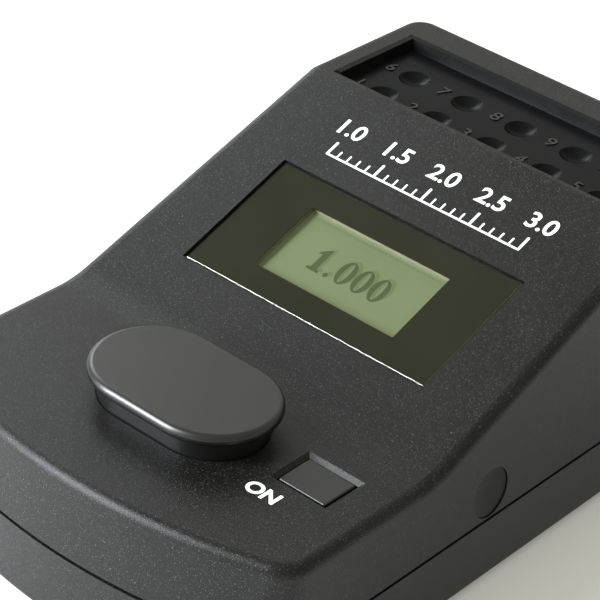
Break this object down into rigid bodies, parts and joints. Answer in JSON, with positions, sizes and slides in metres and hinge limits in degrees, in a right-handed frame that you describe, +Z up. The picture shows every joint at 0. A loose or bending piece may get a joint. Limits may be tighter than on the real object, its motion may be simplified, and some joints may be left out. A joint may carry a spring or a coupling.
{
  "type": "refractive index meter",
  "caption": "Desk-top gemstone refractive index meter: wedge case with sloped display panel, lift-off oval light cap over the test aperture, ON button, rear stone tray and battery door.",
  "frame": {"origin": "on the table, under the middle of the case's bounding box", "axes": "+X to the user's right, -Y towards the user (front), +Z up"},
  "size_m": [0.102, 0.1678, 0.0639],
  "materials": {
    "case_plastic": "fine textured black",
    "cap_plastic": "smooth satin black",
    "button_plastic": "fine textured black",
    "plug_plastic": "satin black",
    "tray_plastic": "satin black",
    "foot_rubber": "matt",
    "window_glass": "clear, flat",
    "mask_ink": "dark olive print",
    "bezel_plastic": "pale grey-green",
    "lcd_front": "grey-green liquid-crystal cell",
    "lcd_rear": "grey-green liquid-crystal cell",
    "diffuser": "milky",
    "zebra_rubber": "pink conductive rubber",
    "circuit_board": "green solder mask",
    "chip_epoxy": "black epoxy",
    "component_body": "mixed small parts",
    "buzzer_plastic": "black",
    "screw_steel": "zinc plated",
    "adapter_metal": "fine turned",
    "sapphire": "polished",
    "optic_plastic": "matt black",
    "diode_epoxy": "dark epoxy",
    "sensor_epoxy": "black epoxy",
    "lining_felt": "black felt",
    "ribbon_film": "grey ribbon",
    "cell_sleeve": "printed sleeve, plain",
    "contact_nickel": "nickel plated",
    "wire_sheath": "red insulation",
    "socket_steel": "plain",
    "switch_plastic": "black"
  },
  "bodies": {
    "case": {"upper_case": "case_plastic", "lower_case": "case_plastic", "rubber_feet": "foot_rubber", "case_screws": "screw_steel", "side_plugs": "plug_plastic", "window_lens": "window_glass", "window_mask": "mask_ink", "lcd_bezel": "bezel_plastic", "lcd_front_glass": "lcd_front", "lcd_rear_glass": "lcd_rear", "backlight_panel": "diffuser", "zebra_strips": "zebra_rubber", "display_board": "circuit_board", "controller_chip": "chip_epoxy", "board_components": "component_body", "buzzer": "buzzer_plastic", "display_board_screws": "screw_steel", "test_adapter": "adapter_metal", "adapter_screws": "screw_steel", "probe_window": "sapphire", "optic_block": "optic_plastic", "light_source": "diode_epoxy", "light_sensor": "sensor_epoxy", "optic_board": "circuit_board", "optic_screws": "screw_steel", "board_spacers": "component_body", "ribbon_cable": "ribbon_film", "switch_body": "switch_plastic", "button_board": "circuit_board", "button_board_screws": "screw_steel", "stone_tray": "tray_plastic", "battery_cells": "cell_sleeve", "battery_springs": "contact_nickel", "battery_contacts": "contact_nickel", "battery_leads": "wire_sheath", "power_board": "circuit_board", "power_board_screws": "screw_steel", "power_socket": "socket_steel"},
    "cap": {"light_cap": "cap_plastic", "cap_lining": "lining_felt"},
    "button": {"on_button": "button_plastic", "switch_plunger": "switch_plastic"},
    "door": {"battery_door": "case_plastic"}
  },
  "joints": [
    {"name": "cap_lift", "type": "slide", "parent": "case", "child": "cap", "axis": [0, 0, 1], "range_m": [0, 0.03]},
    {"name": "button_press", "type": "slide", "parent": "case", "child": "button", "axis": [0, 0, -1], "range_m": [0, 0.0006], "stiffness_N_per_m": 2500, "springref_m": -0.0003},
    {"name": "door_slide", "type": "slide", "parent": "case", "child": "door", "axis": [0, 1, 0], "range_m": [0, 0.046]}
  ]
}
